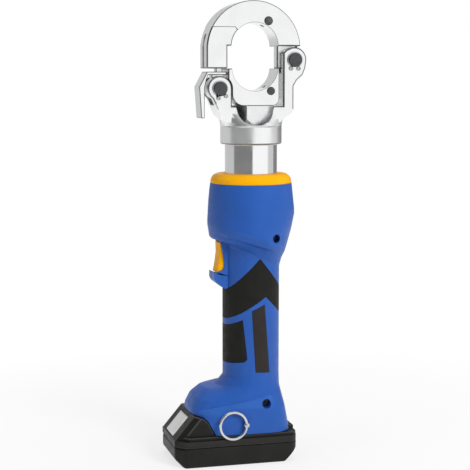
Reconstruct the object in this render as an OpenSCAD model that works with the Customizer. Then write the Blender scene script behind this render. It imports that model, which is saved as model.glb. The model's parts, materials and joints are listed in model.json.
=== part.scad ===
// Battery powered hydraulic crimping tool with a hinged C head, standing on its battery pack.
// Z is the cylinder's axis, the trigger faces -X and the pack's underside is at z = 0.

/* [Head] */
// Thickness of the jaw, the fork and the die holder
head_t = 28; // [25:0.5:31]
// Radius of the die seats
seat_r = 21.3; // [18:0.1:22.5]
// Wall of the jaw outside its seat
jaw_wall = 21.9; // [19:0.1:24]
// Distance that the ram travels
stroke = 19.5; // [16:0.5:21]
// Height of the die holder
holder_h = 33; // [31:0.5:36]
// Wall of the die holder beside its seat
holder_side = 3.3; // [2.8:0.1:4]
// Radius of the hinge pin and the latch pin
pin_r = 6; // [4.5:0.25:6.5]
// Radius of the fork's ears at the hinge pin
hinge_ear_r = 11.2; // [10.6:0.1:11.6]
// Radius of the fork's ears at the latch pin
latch_ear_r = 11; // [10.6:0.1:11.4]
// Thickness of the tongues of the jaw and the latch
tongue_t = 11; // [9:0.5:13]
// Radius of the die retaining pins
die_pin_r = 3.6; // [2.5:0.1:4]
// Width of the latch and its tail
latch_w = 20; // [16:0.5:23]

/* [Cylinder] */
// Radius of the fork's collar
collar_r = 27.8; // [26.5:0.1:30]
// Height of the fork's collar
collar_h = 19.6; // [18:0.2:23]
// Radius of the cylinder tube
tube_r = 23.6; // [23.3:0.1:25]
// Length of tube that shows above the neck ring
tube_show = 26.5; // [20:0.5:34]
// Radius of the piston
piston_r = 17.95; // [17.5:0.05:18.5]
// Radius of the piston rod
rod_r = 15; // [14.8:0.1:15.2]
// Side of the square block on the rod
block_s = 30.2; // [29.4:0.1:30.6]
// Turn of the square block about the rod, in degrees
block_turn = 19.5; // [0:0.5:45]

/* [Housing] */
// Radius of the neck ring
ring_r = 36.8; // [36:0.1:39]
// Height of the neck ring
ring_h = 8.8; // [7:0.1:11]
// Height of the head of the housing
shoulder_h = 85; // [82:0.5:90]
// Largest radius of the housing's head
shoulder_r = 41.5; // [40:0.1:43]
// Radius of the handle
handle_r = 26; // [25.4:0.1:27]
// Length of the straight handle
handle_l = 89; // [86:0.5:95]
// Height of the foot that carries the pack
foot_h = 51.4; // [49:0.2:55]
// Half the width of the foot
foot_half = 34.5; // [33:0.1:36]
// Depth of the beds for the soft grips
grip_t = 1.4; // [1:0.1:1.6]
// Width of the trigger
trigger_w = 16; // [13:0.5:18]

/* [Battery] */
// Length of the pack's case
pack_l = 113.2; // [108:0.2:118]
// Distance from the axis to the pack's rear face
pack_rear = 35.2; // [34:0.1:37]
// Height of the pack's lower tray
tray_h = 17.6; // [17:0.1:20]
// Height of the pack's ledge above the parting groove
ledge_h = 6.4; // [6:0.1:8]
// Height of the pack's plateau above the ledge
plateau_h = 3; // [2:0.1:4]
// Wall of the pack's case
pack_wall = 2; // [1.6:0.1:2.4]
// Radius of a cell
cell_r = 9.1; // [8.5:0.1:9.2]
// Length of a cell
cell_l = 65; // [60:0.5:66]

/* [Strap ring] */
// Radius of the ring's centre line
strap_r = 11.8; // [9:0.1:13]
// Radius of the ring's wire
strap_wire_r = 1; // [0.8:0.05:1.2]

/* [Hidden] */
$fn = 64;

// Clearances and the overrun of cuts
over = 1;
run_fit = 0.05;
seat_fit = 0.02;
run_gap = 0.4;
face_gap = 0.3;

// Heights from the base upwards
ledge_z = tray_h + ledge_h;
lid_z = ledge_z + plateau_h;
foot_z = lid_z + face_gap;
handle_z = foot_z + foot_h;
shoulder_z = handle_z + handle_l;
ring_z = shoulder_z + shoulder_h;
collar_z = ring_z + ring_h + tube_show;
collar_top = collar_z + collar_h;
neck_h = 15;
holder_z = collar_top + neck_h;
holder_top = holder_z + holder_h;
lip_gap = 0.4;
lip_z = holder_top + stroke + lip_gap;
upper_seat_drop = 0.4;
upper_seat_z = lip_z - upper_seat_drop;
lower_seat_rise = 1.2;
lower_seat_z = holder_top + lower_seat_rise;
jaw_drop = 3;
jaw_z = lip_z - jaw_drop;
ear_gap = 0.8;
hinge_z = lip_z - hinge_ear_r - ear_gap;
latch_rise = 15.3;
latch_z = holder_z + latch_rise;
head_half = head_t / 2;
jaw_r = seat_r + jaw_wall;
jaw_shift = 0.9;
jaw_left = jaw_r + jaw_shift;
holder_half = seat_r + holder_side;
holder_lip = 1;
holder_right = seat_r + holder_lip;
hinge_in = 6.3;
hinge_x = jaw_r - hinge_in;
latch_in = 10.8;
latch_x = jaw_r - latch_in;

// Fork
throat_r = 22;
throat_depth = 5.4;
arm_gap = 4;
arm_x = holder_right + arm_gap;
arm_out = 1.9;
arm_r = hinge_x + arm_out;
arm_flat_x = sqrt(arm_r * arm_r - head_half * head_half);
flare_h = 11.5;
flare_steps = 8;
ear_free_drop = 12.2;
ear_free_z = latch_z - ear_free_drop;
slot_gap = 0.4;
channel_drop = 0.8;
ear_side_share = 0.66;
heel_shares = [[1, 0], [0.92, -0.65], [0.7, -1.2], [0.2, -1.65]];
heel_foot_share = 2.1;
crown_shares = [[0.3, 0.82], [0, 0.56]];
hinge_slot_floor = 11.2;
latch_slot_floor = 14;
latch_tongue_r = 10;
hinge_tongue_r = 9.4;
tongue_drop = 8;
tongue_link = 5.4;

// Jaw and latch
limb_gap = 0.4;
limb_x = holder_half + limb_gap;
limb_step = 1.2;
step_rise = 16.5;
step_x = 15.5;
step_corner = 3;
die_pin_out = 4.5;
upper_pin_turn = 61.4;
lower_pin_turn = -55.2;
pin_proud = 1.2;
die_pin_short = 2;
notch_w = 3;
notch_l = 5;
rim_groove_w = 5;
rim_groove_d = 1.8;
rim_groove_h = 27;
rim_hole_h = 3.2;
rim_hole_d = 7;
nose_t = 8;
nose_w = 6;
nose_x = 33.6;
nose_h = 7;
nose_swing = 7.4;
latch_gap = 2.9;
latch_block_h = 2.8;
// Points of the latch's outer edge and its tail, from the latch pin, as shares of the ear's radius
latch_edge_shares = [
    [-0.98, 1.35], [-1.13, 1.05], [-1.62, 0.15], [-1.62, 0], [-1.45, -2.4],
    [-1.17, -2.4], [-1.17, 0.05], [-1.04, 0.65], [-0.88, 1.08]
];

// Die holder and ram
ear_relief = 0.5;
holder_left = latch_x - latch_ear_r - ear_relief;
holder_big_corner = 10.6;
holder_corner = 6;
spigot_r = 8;
spigot_l = 10;
cone_h = 6.6;
cone_sink_share = 0.2;
cone_rise_share = 1.15;
block_low = 3.4;
piston_h = 10;
seal_h = 3;
seal_d = 1.8;
spring_wire = 0.9;
spring_turns = 3.5;
coil_n = 24;
wire_n = 6;

// Cylinder, from its foot to the top of its spigot
swivel_r = 21;
swivel_l = 11;
gland_h = 16;
bore_r = piston_r + run_fit;
cylinder_foot_drop = 20.5;
cylinder_z = ring_z - cylinder_foot_drop;
cylinder_floor = 8;
port_r = 3;
piston_lift = 3;
piston_z = cylinder_z + cylinder_floor + piston_lift;
spigot_top = collar_z + swivel_l;
gland_z = spigot_top - gland_h;
wiper_h = 2.6;
wiper_d = 2.5;
wire_r = 0.9;
wire_gap = 0.25;
wire_rise = 6;

// Circlips
clip_t = 1.2;
clip_w = 1.6;
clip_gap = 0.2;
groove_d = 0.6;
clip_angle = 300;
eyelet_r = 1.9;
eyelet_hole_r = 0.8;
eyelet_spread = 24;
eyelet_reach = 1.6;
latch_clip_turn = 15;
pin_front = 2.2;
pin_head_t = 2.4;
pin_head = 2.4;

// Housing loft: front, rear and side reach, then front, side and rear height, then squareness
loft_n = 56;
soft_share = 0.12;
ring_lip = 0.3;
ring_round = 7.4;
shoulder_shares = [
    [0.908, 0.962, 0.945, 0.947, 0.83, 0.684, 2],
    [0.934, 0.885, 0.972, 0.817, 0.62, 0.516, 2],
    [0.963, 0.736, 0.95, 0.572, 0.43, 0.27, 2],
    [0.917, 0.662, 0.8, 0.414, 0.335, 0.189, 2]
];
shelf_share = 0.375;
side_foot_share = 0.225;
rear_foot_share = 0.103;
handle_foot_share = 0.25;
// Foot rings, from the handle down to the pack
foot_front = 62;
foot_rear = 32.4;
foot_shares = [
    [0.419, 0.802, 0.754, 0.938, 1, 1, 2],
    [0.527, 0.802, 0.8, 0.784, 0.877, 0.759, 2.1],
    [0.763, 0.84, 0.88, 0.772, 0.675, 0.609, 2.5],
    [0.897, 0.877, 0.985, 0.623, 0.451, 0.444, 3.2],
    [0.973, 0.91, 1, 0.43, 0.325, 0.282, 3.6],
    [1, 1, 1, 0, 0, 0, 3.6]
];

// Inner cavities
motor_r = 18;
gearbox_r = 16;
pump_r = 23;
reservoir_in = 25;
reservoir_out = 32;
reservoir_h = 13;
reservoir_rise = 2;
pump_h = 20;
pump_z = cylinder_z - pump_h;
shaft_gap_h = 13;
gearbox_top = pump_z - shaft_gap_h;
gearbox_h = 34;
motor_top = gearbox_top - gearbox_h;
motor_h = 66;
motor_z = motor_top - motor_h;
shaft_r = 4;
shaft_sink = 6;
shaft_short = 4;
eccentric_r = 6.5;
eccentric_throw = 1;
eccentric_h = 6;
eccentric_room = 9;
eccentric_lift = 1;
motor_neck_r = 9;
motor_neck_h = 4;

// Grips and label plate: x as shares of the handle's radius, z as shares of its length
grip_shares = [
    [-1.2, 0.865], [-0.95, 0.885], [0.06, 1.205], [0.9, 0.91], [1.2, 0.8],
    [1.2, 0.535], [1, 0.605], [0.28, 0.81], [-0.62, 0.635], [-1.2, 0.535]
];
front_grip_shares = [[-1.2, 0.475], [-0.52, 0.578], [-0.38, 0.17], [-0.48, 0.14], [-1.2, 0.105]];
label_shares = [[0.24, 0.735], [-0.23, 0.67], [-0.1, 0.035], [0.43, 0.025]];
label_t = 0.5;

// Screws
upper_screw_x = 13.6;
upper_screw_drop = 48;
lower_screw_x = 6.1;
lower_screw_drop = 24.6;
screw_well_r = 4.2;
screw_head_r = 3.6;
screw_head_t = 3;
screw_r = 1.9;
socket_r = 1.8;
socket_d = 1.8;
screw_seat = 21;
screw_end = 18;

// Trigger and guard: x from the handle's front, z from the guard's root
trigger_side_gap = 0.4;
trigger_gap = 0.7;
slot_front_share = 1.15;
guard_shares = [
    [-0.9, -0.47], [-1.36, -0.12], [-1.42, 0], [-1.42, 0.22], [-1.3, 0.17], [-1.15, 0.12], [-0.9, 0.1]
];
guard_drop = 1;
guard_z = shoulder_z - guard_drop;
guard_half = 10;
trigger_front_shares = [[-1.22, 1.27], [-1.21, 0.9], [-1.24, 0.62], [-1.32, 0.29]];
trigger_back_shares = [[-1.1, 0.24], [-0.93, 0.24], [-0.91, 0.8], [-0.7, 0.96], [-0.7, 1.27]];
trigger_pin_share = [-0.8, 1.14];
trigger_pin_r = 1.6;
trigger_pin_grip = 3;
trigger_room = 1;
switch_t = 3.4;
switch_h = 10;
switch_w = 11;
switch_gap = 0.4;
switch_rise_share = 0.34;

// Foot interior and rails
rail_neck_half = 20;
rail_half = 24;
rail_neck_h = 5.6;
rail_h = 4.6;
rail_rear = 27;
tail_h = 3;
rail_gap = 0.4;
blade_y = 12;
blade_t = 1.2;
blade_room = 1.4;
blade_l = 22;
terminal_l = 24;
terminal_w = 36;
terminal_h = 8;
terminal_x = -6;
board_l = 22;
board_w = 28;
board_t = 1.6;
board_part_h = 5;
board_part_l = 9;
board_part_w = 12;
board_rise = 35;
board_part_in = 4.5;

// Battery pack
pack_front = pack_l - pack_rear;
pack_side = 3.5;
pack_w = cell_l + 2 * pack_side;
pack_corner = 9;
pack_front_half = 26;
pack_bevel = 9;
bevel_inset_share = 0.5;
pack_cut_front = 7;
pack_cut_rear = 13;
lid_seam = 0.4;
lid_inset = 2;
cell_count = 5;
cell_pitch = 18.6;
cell_back = 17.4;
cell_last_x = pack_rear - cell_back;
cell_first_x = cell_last_x - (cell_count - 1) * cell_pitch;
cell_z = pack_wall + face_gap + cell_r;
// Nose with the release button: x from the axis, heights above the pack's tray
nose_lip_h = 6.1;
nose_top_x = 60;
nose_top_h = 27.4;
nose_crown_x = 52.5;
nose_crown_h = 25.9;
nose_bend_x = 48;
nose_bend_h = 21.9;
nose_heel_x = 41.5;
nose_half = 31;
nose_bevel_x = 66;
nose_bevel_h = 5;
nose_face_half = 26;
nose_gap = 0.6;
button_l = 21.5;
button_w = 26;
button_t = 3.2;
button_proud = 0.6;
button_room = 0.4;
button_travel = 2.5;
button_start = 1.8;
button_open = 12;

// Strap ring
strap_x = -14;
strap_rise = 9.8;
strap_z = foot_z + strap_rise;
strap_out = 3.4;
strap_y = foot_half + strap_out;
bead_r = 2.9;
bead_hole_r = 1.5;
stem_r = 2;

// Helpers

// A flat outline in x and z, made t thick about the plane y = 0
module across(t)
    rotate([90, 0, 0])
        linear_extrude(t, center = true)
            children();

// A round bar along Y, from y0 to y1, at x and z
module bar(r, x, z, y0, y1, sides = $fn)
    translate([x, y1, z])
        rotate([90, 0, 0])
            cylinder(r = r, h = y1 - y0, $fn = sides);

// A box by its lowest and highest corners
module block(low, high)
    translate(low)
        cube(high - low);

// What a rounded corner takes away from a square one, at the origin, opening towards +x and +y
module corner_cut(r)
    difference() {
        translate([-over, -over]) square(r + over);
        translate([r, r]) circle(r);
    }

// A ring of constant section about Z
module hoop(r_in, r_out, z, h)
    translate([0, 0, z])
        difference() {
            cylinder(r = r_out, h = h);
            translate([0, 0, -over]) cylinder(r = r_in, h = h + 2 * over);
        }

function signed_power(v, p) = sign(v) * pow(abs(v), p);

// Points of one loft ring: r holds front, rear and side reach, front, side and rear height, squareness
function loft_ring(r) = [
    for (i = [0 : loft_n - 1])
        let (
            c = cos(360 * i / loft_n),
            s = sin(360 * i / loft_n),
            end_x = c > 0 ? r[1] : r[0],
            end_z = c > 0 ? r[5] : r[3]
        )
        [
            end_x * signed_power(c, 2 / r[6]),
            r[2] * signed_power(s, 2 / r[6]),
            r[4] + (end_z - r[4]) * abs(c)
        ]
];

// A closed loft through rings given from the top down, with flat end caps
module loft(rings) {
    points = [for (r = rings) each loft_ring(r)];
    last = len(rings) - 1;
    walls = [
        for (k = [0 : last - 1])
            for (i = [0 : loft_n - 1])
                let (j = (i + 1) % loft_n, a = k * loft_n, b = a + loft_n)
                each [[a + i, b + i, b + j], [a + i, b + j, a + j]]
    ];
    top_cap = [for (i = [1 : loft_n - 2]) [0, i, i + 1]];
    bottom_cap = [for (i = [1 : loft_n - 2]) [last * loft_n, last * loft_n + i + 1, last * loft_n + i]];
    faces = [for (f = concat(walls, top_cap, bottom_cap)) [f[2], f[1], f[0]]];
    polyhedron(points = points, faces = faces, convexity = 6);
}

// A loft ring from shares: reaches scaled by the given lengths, heights by h above z
function scaled_ring(s, front, rear, side, z, h) =
    [s[0] * front, s[1] * rear, s[2] * side, z + s[3] * h, z + s[4] * h, z + s[5] * h, s[6]];

function round_ring(r, z) = [r, r, r, z, z, z, 2];

function mixed_ring(a, b, t) = [for (i = [0 : len(a) - 1]) a[i] + (b[i] - a[i]) * t];

// The rings with each crease between two lofted bands broken by a narrow band
function soft_rings(rings) = [
    for (k = [0 : len(rings) - 1])
        each k == 0 || k == len(rings) - 1
            ? [rings[k]]
            : [mixed_ring(rings[k], rings[k - 1], soft_share), mixed_ring(rings[k], rings[k + 1], soft_share)]
];

// Points of one wire ring of a helix, in the plane of the axis and the ring's centre
function wire_ring(r, wire, z, turn) = [
    for (k = [0 : wire_n - 1])
        let (out = r + wire * cos(360 * k / wire_n))
        [out * cos(turn), out * sin(turn), z + wire * sin(360 * k / wire_n)]
];

// A round wire along a helix about Z
module spring(r, wire, turns, z, h) {
    last = coil_n * turns;
    end = wire_n * last;
    points = [for (i = [0 : last]) each wire_ring(r, wire, z + h * i / last, 360 * i / coil_n)];
    walls = [
        for (i = [0 : last - 1])
            for (k = [0 : wire_n - 1])
                let (m = (k + 1) % wire_n, a = wire_n * i, b = a + wire_n)
                each [[a + k, b + k, b + m], [a + k, b + m, a + m]]
    ];
    ends = concat(
        [for (k = [1 : wire_n - 2]) [0, k, k + 1]],
        [for (k = [1 : wire_n - 2]) [end, end + k + 1, end + k]]
    );
    polyhedron(points = points, faces = [for (f = concat(walls, ends)) [f[2], f[1], f[0]]]);
    gap = h / turns - 2 * wire;
    echo(str("least gap between the return spring's coils: ", gap));
}

// Fork, pins and clips

// Outline of the fork's arms and ears, seen from the side
module fork_outline() {
    left_x = latch_x + ear_side_share * latch_ear_r;
    heel = [for (s = heel_shares) [hinge_x + s[0] * hinge_ear_r, hinge_z + s[1] * hinge_ear_r]];
    crown = [for (s = crown_shares) [arm_x + s[0] * hinge_ear_r, hinge_z + s[1] * hinge_ear_r]];
    translate([-latch_x, latch_z]) circle(latch_ear_r);
    translate([hinge_x, hinge_z]) circle(hinge_ear_r);
    polygon([
        [-collar_r, collar_top - over],
        [-left_x, latch_z - ear_side_share * latch_ear_r],
        [-latch_x, latch_z],
        [latch_ear_r - latch_x, latch_z],
        [latch_ear_r - latch_x, collar_top - over]
    ]);
    polygon(concat(
        [[arm_x, collar_top - over], [arm_flat_x, collar_top - over]],
        [[arm_flat_x, hinge_z - heel_foot_share * hinge_ear_r]],
        [for (i = [len(heel) - 1 : -1 : 0]) heel[i]],
        [[hinge_x, hinge_z + hinge_ear_r]],
        crown
    ));
    translate([-collar_r, collar_top - over])
        square([collar_r + arm_flat_x, neck_h + over - channel_drop]);
}

// The turned blank that the arms are milled from: collar, flare and free room for the ears
module fork_blank() {
    wide = jaw_r + 2 * latch_ear_r;
    flare = [
        for (i = [0 : flare_steps])
            let (t = i / flare_steps)
            [collar_r + (arm_r - collar_r) * (1 - cos(180 * t)) / 2, collar_top + flare_h * t]
    ];
    rotate_extrude($fn = 96)
        polygon(concat(
            [[0, collar_z], [collar_r, collar_z]],
            flare,
            [[arm_r, ear_free_z], [wide, ear_free_z], [wide, lip_z], [0, lip_z]]
        ));
}

module fork()
    color("silver")
        difference() {
            union() {
                translate([0, 0, collar_z]) cylinder(r = collar_r, h = collar_h, $fn = 96);
                intersection() {
                    across(head_t) fork_outline();
                    fork_blank();
                }
            }
            // Throat for the square block, and the channel for the die holder
            translate([0, 0, collar_top - throat_depth]) cylinder(r = throat_r, h = neck_h + throat_depth);
            block([latch_ear_r - latch_x, -head_t, holder_z - channel_drop], [arm_x, head_t, lip_z]);
            // Passage for the rod, and the swivel seat on the cylinder's spigot
            translate([0, 0, collar_z - over]) cylinder(r = rod_r + run_gap, h = collar_h);
            translate([0, 0, collar_z - over])
                cylinder(r = swivel_r + run_fit, h = swivel_l + face_gap + over);
            translate([0, 0, collar_z + wire_rise])
                rotate_extrude()
                    translate([swivel_r, 0])
                        circle(r = wire_r + wire_gap, $fn = 24);
            // Slots between the ears
            block(
                [-latch_x - 2 * latch_ear_r, -tongue_t / 2 - slot_gap, latch_z - latch_slot_floor],
                [-latch_x + 2 * latch_ear_r, tongue_t / 2 + slot_gap, lip_z]
            );
            block(
                [arm_x - over, -tongue_t / 2 - slot_gap, hinge_z - hinge_slot_floor],
                [hinge_x + 2 * hinge_ear_r, tongue_t / 2 + slot_gap, lip_z]
            );
            bar(pin_r + seat_fit, hinge_x, hinge_z, -head_t, head_t);
            bar(pin_r + seat_fit, -latch_x, latch_z, -head_t, head_t);
        }

// A headed pin along Y with a clip groove at its front end
module headed_pin(x, z) {
    front = head_half + clip_gap + clip_t + pin_front;
    difference() {
        union() {
            bar(pin_r, x, z, -front, head_half + face_gap + pin_head_t);
            bar(pin_r + pin_head, x, z, head_half + face_gap, head_half + face_gap + pin_head_t);
        }
        translate([x, -head_half - clip_gap, z])
            rotate([90, 0, 0])
                hoop(pin_r - groove_d, pin_r + over, 0, clip_t);
    }
}

module hinge_pin()
    color("dimgray")
        headed_pin(hinge_x, hinge_z);

module latch_pin()
    color("dimgray")
        headed_pin(-latch_x, latch_z);

// A retaining clip with two eyelets below the pin, turned by the given angle
module circlip(x, z, turn) {
    r_in = pin_r - groove_d + seat_fit;
    r_out = r_in + clip_w;
    reach = r_out + eyelet_reach;
    translate([x, -head_half - clip_gap, z])
        rotate([90, 0, 0])
            rotate([0, 0, turn])
                difference() {
                    union() {
                        rotate([0, 0, -90 + (360 - clip_angle) / 2])
                            rotate_extrude(angle = clip_angle)
                                translate([r_in, 0])
                                    square([clip_w, clip_t - 2 * seat_fit]);
                        for (side = [-1, 1])
                            rotate([0, 0, -90 + side * eyelet_spread])
                                translate([reach, 0, 0])
                                    cylinder(r = eyelet_r, h = clip_t - 2 * seat_fit);
                    }
                    for (side = [-1, 1])
                        rotate([0, 0, -90 + side * eyelet_spread])
                            translate([reach, 0, -over])
                                cylinder(r = eyelet_hole_r, h = clip_t + 2 * over);
                }
}

module circlips()
    color("lightgray") {
        circlip(hinge_x, hinge_z, 0);
        circlip(-latch_x, latch_z, latch_clip_turn);
    }

// Jaw and latch

module jaw_outline()
    difference() {
        union() {
            intersection() {
                translate([-jaw_shift, jaw_z]) circle(jaw_r, $fn = 128);
                translate([-jaw_left, lip_z]) square([2 * jaw_r, 2 * jaw_r]);
            }
            translate([-jaw_left, holder_top]) square([jaw_left - limb_x, lip_z - holder_top]);
        }
        translate([0, upper_seat_z]) circle(seat_r, $fn = 96);
    }

// The tongue reaches in beside the die holder's path
module jaw_tongue_outline() {
    inner_x = holder_right + run_gap;
    translate([hinge_x, hinge_z]) circle(hinge_tongue_r);
    translate([inner_x, hinge_z - tongue_drop])
        square([hinge_x - inner_x, tongue_drop + lip_z - hinge_z + over]);
    translate([hinge_x, hinge_z]) square([tongue_link, lip_z - hinge_z + over]);
}

// Place of a die pin at the given turn round a seat's centre
function pin_at(turn, z) = [(seat_r + die_pin_out) * cos(turn), z + (seat_r + die_pin_out) * sin(turn)];

// Notch where a die pin reaches its seat
module pin_notch(turn, z)
    translate([0, 0, z])
        rotate([0, -turn, 0])
            block(
                [seat_r - over, -notch_l / 2, -notch_w / 2],
                [seat_r + die_pin_out, notch_l / 2, notch_w / 2]
            );

module upper_jaw() {
    pin = pin_at(upper_pin_turn, upper_seat_z);
    step_z = lip_z + step_rise;
    color("gainsboro")
        difference() {
            union() {
                across(head_t) jaw_outline();
                across(tongue_t) jaw_tongue_outline();
            }
            bar(pin_r + run_fit, hinge_x, hinge_z, -head_t, head_t);
            bar(die_pin_r + run_fit, pin[0], pin[1], -head_t, head_t);
            pin_notch(upper_pin_turn, upper_seat_z);
            // The limb is stepped thinner on both faces
            for (side = [-1, 1])
                translate([0, side * (head_half - limb_step + head_t / 2), 0])
                    across(head_t)
                        polygon([
                            [-jaw_left - over, holder_top - over],
                            [-step_x, holder_top - over],
                            [-step_x, step_z - step_corner],
                            [-step_x - step_corner, step_z],
                            [-jaw_left - over, step_z]
                        ]);
            // Groove along the limb's outer rim, with a hole at its upper end
            block(
                [-jaw_left - over, -rim_groove_w / 2, holder_top - over],
                [-jaw_left + rim_groove_d, rim_groove_w / 2, holder_top + rim_groove_h]
            );
            block(
                [-jaw_left - over, -rim_groove_w / 2, holder_top + rim_groove_h],
                [-jaw_left + rim_hole_d, rim_groove_w / 2, holder_top + rim_groove_h + rim_hole_h]
            );
            // Pocket for the latch's nose, open to the die space
            block(
                [-nose_x - nose_swing, -nose_t / 2 - run_gap, holder_top - over],
                [-limb_x + over, nose_t / 2 + run_gap, holder_top + nose_h + over]
            );
        }
}

module die_pin(at)
    bar(die_pin_r, at[0], at[1], -head_half - pin_proud, head_half - die_pin_short);

module upper_die_pin()
    color("dimgray")
        die_pin(pin_at(upper_pin_turn, upper_seat_z));

module lower_die_pin()
    color("dimgray")
        die_pin(pin_at(lower_pin_turn, lower_seat_z));

module latch() {
    edge = [for (s = latch_edge_shares) [s[0] * latch_ear_r - latch_x, s[1] * latch_ear_r + latch_z]];
    top_z = holder_top - latch_gap;
    inner_x = -limb_x - limb_gap;
    color("gainsboro")
        difference() {
            union() {
                across(latch_w)
                    polygon(concat(
                        [[inner_x, top_z - latch_block_h], [inner_x, top_z]],
                        edge,
                        [[edge[8][0], top_z - latch_block_h]]
                    ));
                across(tongue_t) {
                    translate([-latch_x, latch_z]) circle(latch_tongue_r);
                    translate([-latch_x - tongue_link, latch_z])
                        square([2 * tongue_link, top_z - latch_z]);
                }
                block(
                    [-nose_x, -nose_t / 2, top_z - over],
                    [nose_w - nose_x, nose_t / 2, holder_top + nose_h]
                );
            }
            bar(pin_r + run_fit, -latch_x, latch_z, -head_t, head_t);
        }
}

// Die holder, ram and cylinder

module holder_outline()
    difference() {
        translate([-holder_half, holder_z]) square([holder_half + holder_right, holder_h]);
        translate([0, lower_seat_z]) circle(seat_r, $fn = 96);
        translate([-latch_x, latch_z]) circle(latch_ear_r + ear_relief);
        translate([-holder_half - over, holder_z - over])
            square([holder_half + over - holder_left, latch_z - holder_z + over]);
        translate([-holder_left, holder_z]) corner_cut(holder_big_corner);
        translate([holder_right, holder_z]) mirror([1, 0]) corner_cut(holder_corner);
    }

module die_holder() {
    pin = pin_at(lower_pin_turn, lower_seat_z);
    color("gainsboro")
        difference() {
            across(head_t) holder_outline();
            bar(die_pin_r + run_fit, pin[0], pin[1], -head_t, head_t);
            pin_notch(lower_pin_turn, lower_seat_z);
            translate([0, 0, holder_z - over])
                cylinder(r = spigot_r + seat_fit, h = spigot_l + over + face_gap);
        }
}

module ram() {
    cone_z = collar_top - block_low;
    cone_out = block_s / sqrt(2) - rod_r;
    color("silver") {
        // The square block is cut from below by a cone that starts inside the rod
        intersection() {
            rotate([0, 0, block_turn])
                translate([-block_s / 2, -block_s / 2, cone_z - cone_sink_share * cone_h])
                    cube([block_s, block_s, holder_z - cone_z + cone_sink_share * cone_h]);
            rotate_extrude()
                polygon([
                    [0, cone_z - cone_sink_share * cone_h],
                    [rod_r - cone_sink_share * cone_out, cone_z - cone_sink_share * cone_h],
                    [rod_r + cone_rise_share * cone_out, cone_z + cone_rise_share * cone_h],
                    [rod_r + cone_rise_share * cone_out, holder_z],
                    [0, holder_z]
                ]);
        }
        translate([0, 0, piston_z]) cylinder(r = rod_r, h = holder_z - over - piston_z);
        translate([0, 0, holder_z - over]) cylinder(r = spigot_r, h = spigot_l + over);
        difference() {
            translate([0, 0, piston_z]) cylinder(r = piston_r, h = piston_h);
            hoop(piston_r - seal_d, piston_r + over, piston_z + (piston_h - seal_h) / 2, seal_h);
        }
    }
}

module piston_seal()
    color("black")
        hoop(
            piston_r - seal_d + seat_fit, piston_r + seat_fit,
            piston_z + (piston_h - seal_h) / 2 + seat_fit, seal_h - 2 * seat_fit
        );

module return_spring() {
    low = piston_z + piston_h + spring_wire + face_gap;
    high = gland_z - spring_wire - face_gap;
    color("silver")
        spring((rod_r + bore_r) / 2, spring_wire, spring_turns, low, high - low);
}

module cylinder_body()
    difference() {
        union() {
            translate([0, 0, cylinder_z])
                cylinder(r = tube_r, h = collar_z - face_gap - cylinder_z, $fn = 96);
            translate([0, 0, cylinder_z]) cylinder(r = swivel_r, h = spigot_top - cylinder_z);
        }
        translate([0, 0, cylinder_z + cylinder_floor])
            cylinder(r = bore_r, h = gland_z - cylinder_z - cylinder_floor);
        translate([0, 0, cylinder_z - over]) cylinder(r = port_r, h = cylinder_floor + 2 * over);
        translate([0, 0, gland_z - over]) cylinder(r = rod_r + run_fit, h = gland_h + 2 * over);
        translate([0, 0, spigot_top - wiper_h]) cylinder(r = rod_r + wiper_d, h = wiper_h + over);
        translate([0, 0, collar_z + wire_rise])
            rotate_extrude()
                translate([swivel_r, 0])
                    circle(r = wire_r + wire_gap, $fn = 24);
    }

module cylinder_node()
    color("lightsteelblue")
        cylinder_body();

module wiper_seal()
    color("black")
        hoop(
            rod_r + run_fit, rod_r + wiper_d - seat_fit,
            spigot_top - wiper_h + seat_fit, wiper_h - 2 * seat_fit
        );

module swivel_wire()
    color("gray")
        translate([0, 0, collar_z + wire_rise])
            rotate_extrude()
                translate([swivel_r, 0])
                    circle(r = wire_r, $fn = 24);

// Housing

module neck_ring() {
    r_in = tube_r + run_gap;
    color("orange")
        translate([0, 0, ring_z])
            rotate_extrude($fn = 96) {
                translate([r_in, 0]) square([ring_r - ring_round - r_in, ring_h]);
                intersection() {
                    translate([ring_r - ring_round, ring_h - ring_round]) circle(ring_round);
                    translate([r_in, 0]) square([ring_r, ring_h]);
                }
                translate([r_in, 0]) square([ring_r - r_in, ring_h - ring_round]);
            }
}

// Outer shape of both shells
module housing_loft() {
    r = shoulder_r;
    head = [for (s = shoulder_shares) scaled_ring(s, r, r, r, shoulder_z, shoulder_h)];
    waist = [
        handle_r, handle_r, handle_r,
        shoulder_z + shelf_share * shoulder_h,
        shoulder_z + side_foot_share * shoulder_h,
        shoulder_z + rear_foot_share * shoulder_h,
        2
    ];
    foot = [for (s = foot_shares) scaled_ring(s, foot_front, foot_rear, foot_half, foot_z, foot_h)];
    loft(soft_rings(concat(
        [round_ring(ring_r + ring_lip, ring_z)],
        head,
        [waist, round_ring(handle_r, shoulder_z)],
        [round_ring(handle_r, handle_z + handle_foot_share * handle_r)],
        foot
    )));
}

// Prism of a share outline on the handle, through both sides
module handle_prism(shares)
    across(4 * handle_r)
        polygon([for (s = shares) [s[0] * handle_r, handle_z + s[1] * handle_l]]);

// Skin of the handle between two depths, cut to a share outline
module handle_skin(shares, depth, proud)
    intersection() {
        hoop(handle_r - depth, handle_r + proud, handle_z - over, handle_l + shoulder_h / 2);
        handle_prism(shares);
    }

// Room that a skin of the given depth needs in the shells
module handle_bed(shares, depth)
    difference() {
        handle_prism(shares);
        translate([0, 0, handle_z - handle_l]) cylinder(r = handle_r - depth, h = 4 * handle_l);
    }

function on_front(s) = [s[0] * handle_r, guard_z + s[1] * handle_r];

module guard_outline()
    polygon([for (s = guard_shares) on_front(s)]);

module trigger_outline()
    polygon(concat(
        [for (s = trigger_front_shares) on_front(s)],
        [for (s = trigger_back_shares) on_front(s)]
    ));

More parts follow.
